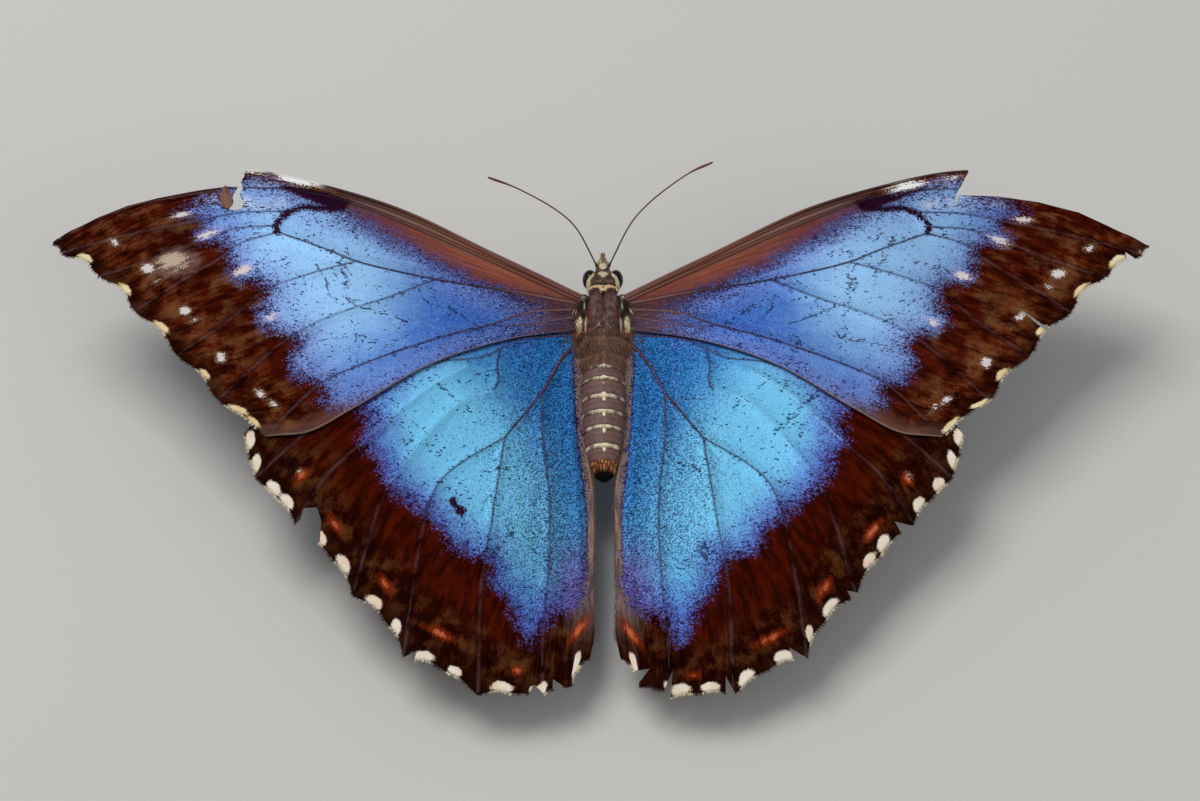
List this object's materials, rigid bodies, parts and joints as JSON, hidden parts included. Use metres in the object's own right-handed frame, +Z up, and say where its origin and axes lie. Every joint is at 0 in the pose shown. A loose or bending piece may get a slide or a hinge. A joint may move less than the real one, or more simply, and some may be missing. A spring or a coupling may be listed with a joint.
{
  "type": "blue morpho butterfly",
  "caption": "Life-size blue morpho butterfly at rest with its wings spread flat, standing on its walking legs, as a still display model.",
  "frame": {"origin": "on the floor, under the middle of the bounding box", "axes": "+X towards the insect's right, across the spread wings; +Y towards its head; +Z up"},
  "size_m": [0.147, 0.0768, 0.021],
  "materials": {
    "coat": "dark brown hair-like scales with cream bands",
    "shell": "dark brown horny shell with short scales",
    "eye": "glossy dark brown",
    "wing": "metallic blue scales shading through violet into dark brown margins with cream and orange marks"
  },
  "bodies": {
    "root": {"head": "coat", "thorax": "coat", "abdomen": "coat", "proboscis": "shell", "eye_left": "eye", "eye_right": "eye", "palp_left": "coat", "palp_right": "coat", "antenna_left": "shell", "antenna_right": "shell", "forewing_left": "wing", "forewing_right": "wing", "hindwing_left": "wing", "hindwing_right": "wing", "foreleg_left": "shell", "foreleg_right": "shell", "midleg_femur_left": "shell", "midleg_femur_right": "shell", "midleg_tibia_left": "shell", "midleg_tibia_right": "shell", "midleg_tarsus_left": "shell", "midleg_tarsus_right": "shell", "hindleg_femur_left": "shell", "hindleg_femur_right": "shell", "hindleg_tibia_left": "shell", "hindleg_tibia_right": "shell", "hindleg_tarsus_left": "shell", "hindleg_tarsus_right": "shell"}
  },
  "joints": []
}
